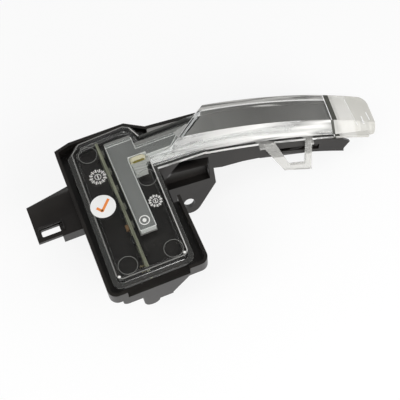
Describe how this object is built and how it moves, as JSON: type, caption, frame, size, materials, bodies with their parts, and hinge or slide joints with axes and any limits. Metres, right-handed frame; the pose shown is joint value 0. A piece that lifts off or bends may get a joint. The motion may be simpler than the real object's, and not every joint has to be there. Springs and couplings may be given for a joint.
{
  "type": "side repeater lamp",
  "caption": "Door mirror side repeater: black tray with screw lug, locating tab and socket, and a clear lens that runs on along a rising arm over a light guide.",
  "frame": {"origin": "centre of the screw hole on the front face of the lug", "axes": "+X along the arm towards its tip, +Y towards the back edge of the tray, +Z out of the clear lid"},
  "size_m": [0.2129, 0.0998, 0.0499],
  "materials": {
    "black_plastic": "satin moulded black",
    "clear_plastic": "polished clear lens plastic",
    "optic_plastic": "clear plastic with a frosted back",
    "guide_plastic": "polished clear rod",
    "grey_plastic": "satin silver grey",
    "board_laminate": "lacquered glass laminate",
    "diode_body": "white moulded package",
    "diode_emitter": "amber tinted resin",
    "chip_black": "matt moulded package",
    "ceramic_tan": "glazed ceramic",
    "tinned_brass": "tin plated",
    "label_paper": "coated paper"
  },
  "bodies": {
    "root": {"housing": "black_plastic", "outer_lens": "clear_plastic", "reflector": "grey_plastic", "flat_optic": "optic_plastic", "light_guide": "guide_plastic", "circuit_board": "board_laminate", "board_led_1": "diode_body", "board_led_2": "diode_body", "board_led_3": "diode_body", "board_led_4": "diode_body", "board_led_5": "diode_body", "guide_led_ring": "diode_body", "guide_led": "diode_emitter", "driver_chip": "chip_black", "capacitor": "ceramic_tan", "protection_diode": "chip_black", "resistor_1": "chip_black", "resistor_2": "chip_black", "terminal_1": "tinned_brass", "terminal_2": "tinned_brass", "terminal_3": "tinned_brass", "inspection_label": "label_paper"}
  },
  "joints": []
}
